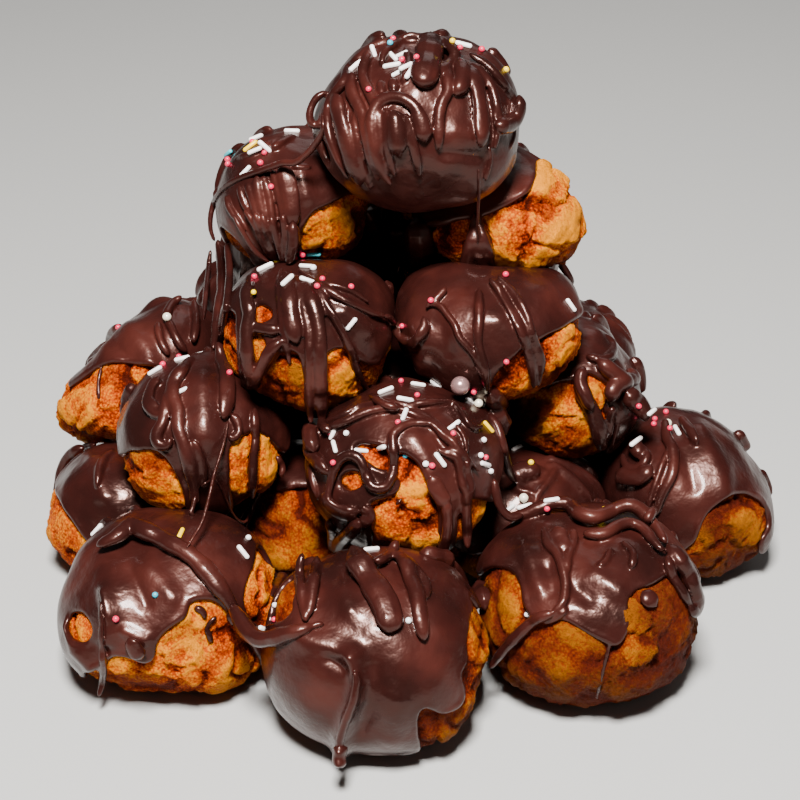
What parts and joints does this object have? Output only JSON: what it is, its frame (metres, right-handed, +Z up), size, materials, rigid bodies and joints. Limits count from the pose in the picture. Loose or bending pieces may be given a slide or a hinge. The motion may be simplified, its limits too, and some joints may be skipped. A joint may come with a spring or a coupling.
{
  "type": "croquembouche",
  "caption": "Cone-shaped heap of baked choux buns, each under a cap of dark chocolate with drizzle and sugar sprinkles.",
  "frame": {"origin": "centre of the heap's bounding box, on the surface it stands on", "axes": "+Z up; -Y towards the side that the picture shows; +X to the right of that view"},
  "size_m": [0.2196, 0.2284, 0.1651],
  "materials": {
    "choux": "baked golden-brown crust, matt and craggy",
    "chocolate": "set dark chocolate, glossy"
  },
  "bodies": {
    "root": {"choux_r0": "choux", "choux_r1": "choux", "choux_r2": "choux", "choux_r3": "choux", "choux_r4": "choux", "choux_r5": "choux", "choux_r6": "choux", "choux_r7": "choux", "choux_i0": "choux", "choux_i1": "choux", "choux_i2": "choux", "choux_i3": "choux", "choux_i4": "choux", "choux_s0": "choux", "choux_s1": "choux", "choux_s2": "choux", "choux_s3": "choux", "choux_s4": "choux", "choux_s5": "choux", "choux_s6": "choux", "choux_s7": "choux", "choux_t0": "choux", "choux_t1": "choux", "choux_t2": "choux", "choux_t3": "choux", "choux_u0": "choux", "choux_u1": "choux", "choux_u2": "choux", "choux_v0": "choux", "glaze_r0": "chocolate", "glaze_r1": "chocolate", "glaze_r2": "chocolate", "glaze_r3": "chocolate", "glaze_r4": "chocolate", "glaze_r5": "chocolate", "glaze_r6": "chocolate", "glaze_r7": "chocolate", "glaze_i0": "chocolate", "glaze_i1": "chocolate", "glaze_i2": "chocolate", "glaze_i3": "chocolate", "glaze_i4": "chocolate", "glaze_s0": "chocolate", "glaze_s1": "chocolate", "glaze_s2": "chocolate", "glaze_s3": "chocolate", "glaze_s4": "chocolate", "glaze_s5": "chocolate", "glaze_s6": "chocolate", "glaze_s7": "chocolate", "glaze_t0": "chocolate", "glaze_t1": "chocolate", "glaze_t2": "chocolate", "glaze_t3": "chocolate", "glaze_u0": "chocolate", "glaze_u1": "chocolate", "glaze_u2": "chocolate", "glaze_v0": "chocolate"}
  },
  "joints": []
}
